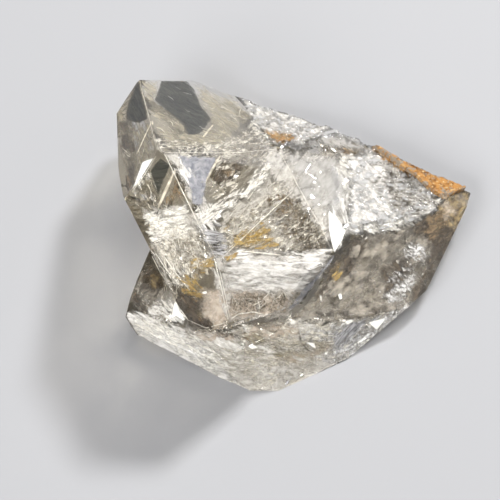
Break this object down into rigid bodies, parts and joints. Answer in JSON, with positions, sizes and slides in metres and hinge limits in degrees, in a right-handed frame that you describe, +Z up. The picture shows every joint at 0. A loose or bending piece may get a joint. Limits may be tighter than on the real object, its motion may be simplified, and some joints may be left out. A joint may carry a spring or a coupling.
{
  "type": "herkimer diamond quartz crystal group",
  "caption": "Clear, lightly smoky doubly ended quartz crystals grown through each other, broken along the back, with an iron-oxide crust on the break",
  "frame": {"origin": "centre of the bounding box's footprint, on the plane that the resting facet lies on", "axes": "+Z up from the resting facet, the specimen's shortest way; +X towards the end with the iron-oxide crust; -Y towards the front end of the prismatic crystal"},
  "size_m": [0.0495, 0.0481, 0.0235],
  "materials": {
    "quartz": "clear quartz with faintly smoky body, bright growth faces and a white hackly break",
    "iron_oxide": "dull, grainy orange-brown crust"
  },
  "bodies": {
    "root": {"quartz_crystals": "quartz", "iron_oxide_crust": "iron_oxide"}
  },
  "joints": []
}
